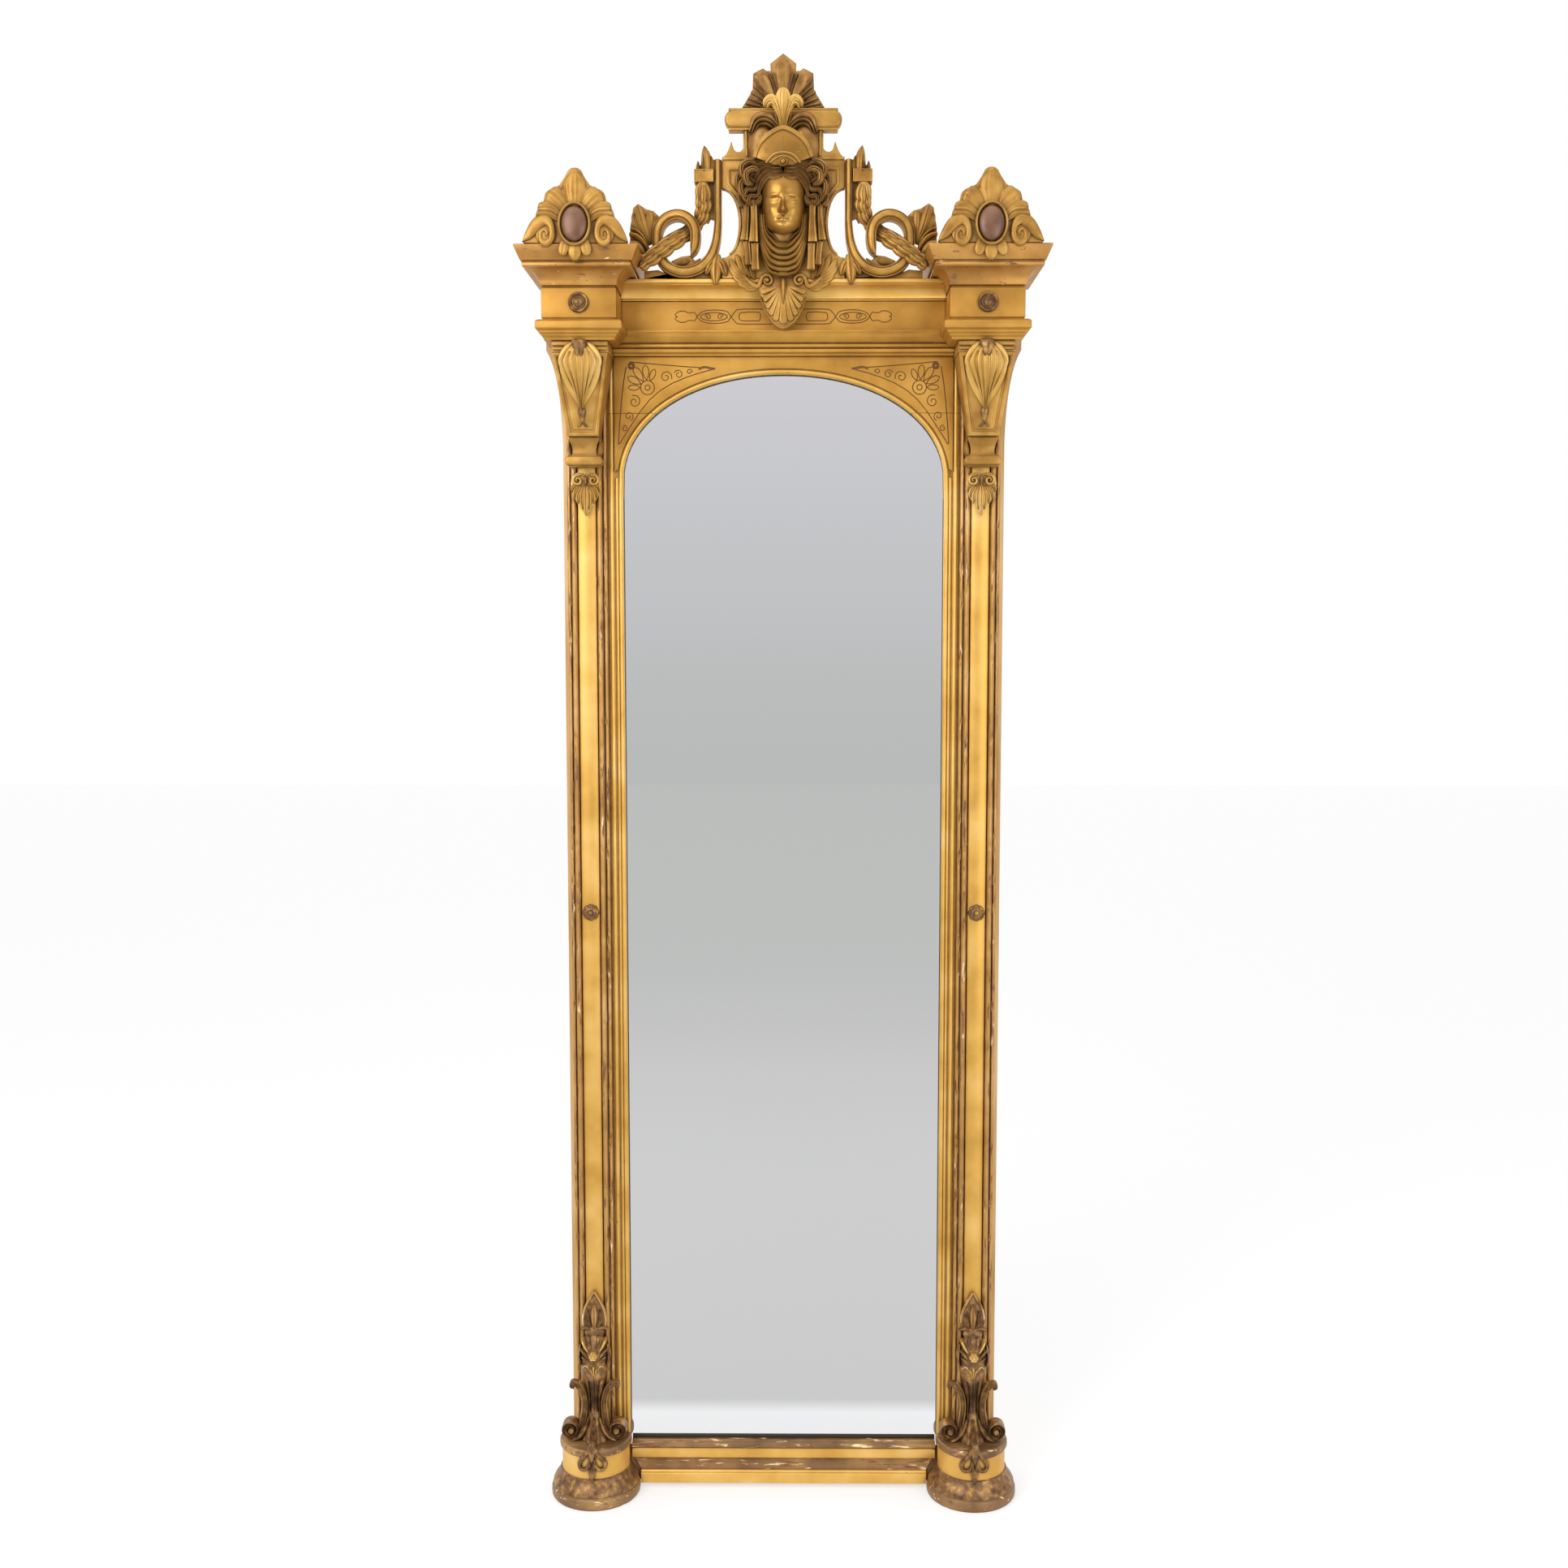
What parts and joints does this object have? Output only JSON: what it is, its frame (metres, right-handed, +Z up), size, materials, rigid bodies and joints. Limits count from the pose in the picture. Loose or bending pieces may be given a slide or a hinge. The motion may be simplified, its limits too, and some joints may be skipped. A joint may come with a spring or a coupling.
{
  "type": "trumeau mirror",
  "caption": "Tall gilded pier mirror with an arched plate, pilasters on half-round plinths, projecting caps and a pierced crest with a classical mask.",
  "frame": {"origin": "on the floor, under the middle of the object's bounding box", "axes": "+Z up, +Y towards the wall behind the mirror, +X to the right of someone facing the glass"},
  "size_m": [0.891, 0.222, 2.5409],
  "materials": {
    "gilded_wood": "water gilding, satin, with rubbed edges",
    "toned_gilding": "gilding toned with brown size",
    "bole_rubbed_gilding": "gilding worn through to brown bole",
    "pine": "bare pine, aged",
    "silvered_glass": "polished, silvered at the back",
    "iron": "blackened wrought iron"
  },
  "bodies": {
    "frame": {"architrave": "gilded_wood", "bottom_moulding": "gilded_wood", "bottom_rail": "pine", "cornice": "gilded_wood", "crest_bar": "gilded_wood", "crest_board": "gilded_wood", "crest_honeysuckle": "gilded_wood", "crest_mask": "gilded_wood", "crest_palmette": "gilded_wood", "crest_pendant": "gilded_wood", "frieze": "gilded_wood", "head_rail": "pine", "left_batten": "pine", "left_cap_band": "gilded_wood", "left_cap_block": "gilded_wood", "left_cap_cabochon": "bole_rubbed_gilding", "left_cap_crown": "toned_gilding", "left_cap_palmette": "gilded_wood", "left_cap_roundel": "bole_rubbed_gilding", "left_capital": "gilded_wood", "left_console": "gilded_wood", "left_console_leaf": "gilded_wood", "left_crest_garland": "toned_gilding", "left_crest_scroll": "gilded_wood", "left_foot_bracket": "bole_rubbed_gilding", "left_hanger_strap": "iron", "left_heart_leaf": "gilded_wood", "left_inner_frame": "gilded_wood", "left_pilaster": "gilded_wood", "left_plinth": "gilded_wood", "left_plinth_drop": "toned_gilding", "left_rosette": "bole_rubbed_gilding", "left_stile": "pine", "lower_backboard": "pine", "mirror_glass": "silvered_glass", "right_batten": "pine", "right_cap_band": "gilded_wood", "right_cap_block": "gilded_wood", "right_cap_cabochon": "bole_rubbed_gilding", "right_cap_crown": "toned_gilding", "right_cap_palmette": "gilded_wood", "right_cap_roundel": "bole_rubbed_gilding", "right_capital": "gilded_wood", "right_console": "gilded_wood", "right_console_leaf": "gilded_wood", "right_crest_garland": "toned_gilding", "right_crest_scroll": "gilded_wood", "right_foot_bracket": "bole_rubbed_gilding", "right_hanger_strap": "iron", "right_heart_leaf": "gilded_wood", "right_inner_frame": "gilded_wood", "right_pilaster": "gilded_wood", "right_plinth": "gilded_wood", "right_plinth_drop": "toned_gilding", "right_rosette": "bole_rubbed_gilding", "right_stile": "pine", "spandrel_board": "gilded_wood", "upper_backboard": "pine"},
    "left_ring": {"left_hanger_ring": "iron"},
    "right_ring": {"right_hanger_ring": "iron"}
  },
  "joints": [
    {"name": "left_ring_swing", "type": "hinge", "parent": "frame", "child": "left_ring", "pos_m": [-0.343, 0.1035, 1.93], "axis": [1, 0, 0], "range_deg": [0, 165]},
    {"name": "right_ring_swing", "type": "hinge", "parent": "frame", "child": "right_ring", "pos_m": [0.343, 0.1035, 1.93], "axis": [1, 0, 0], "range_deg": [0, 165]}
  ]
}
